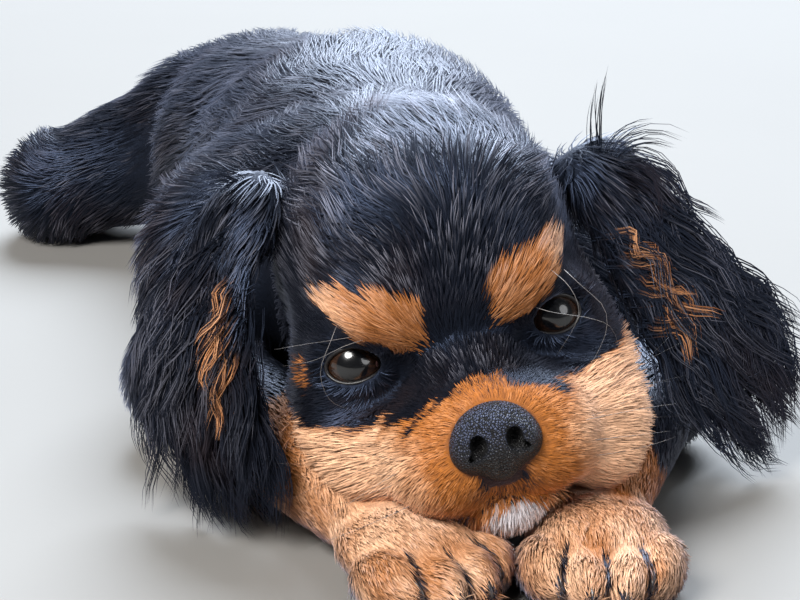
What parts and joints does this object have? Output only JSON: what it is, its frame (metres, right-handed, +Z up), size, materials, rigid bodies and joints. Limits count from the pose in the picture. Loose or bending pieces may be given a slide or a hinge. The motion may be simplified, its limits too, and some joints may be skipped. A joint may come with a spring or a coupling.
{
  "type": "cavalier king charles spaniel puppy model",
  "caption": "Life-size still model of a black and tan spaniel puppy lying on its belly with its chin between its forepaws; a museum-style display animal.",
  "frame": {"origin": "middle of the bounding box, on the floor the puppy lies on", "axes": "+Z up, +Y from the nose towards the tail, +X towards the puppy's left"},
  "size_m": [0.2318, 0.4118, 0.1062],
  "materials": {
    "coat_black": "soft black fur with a bluish sheen",
    "coat_tan": "soft chestnut tan fur",
    "nose_leather": "moist pebbled dark nose leather",
    "eye": "wet dark brown eye"
  },
  "bodies": {
    "root": {"head": "coat_black", "neck": "coat_black", "torso": "coat_black", "tail": "coat_black", "ear_left": "coat_black", "ear_right": "coat_black", "hindleg_left": "coat_black", "hindleg_right": "coat_black", "lower_jaw": "coat_tan", "foreleg_left": "coat_tan", "foreleg_right": "coat_tan", "forepaw_left": "coat_tan", "forepaw_right": "coat_tan", "hindpaw_left": "coat_tan", "hindpaw_right": "coat_tan", "nose": "nose_leather", "eye_left": "eye", "eye_right": "eye"}
  },
  "joints": []
}
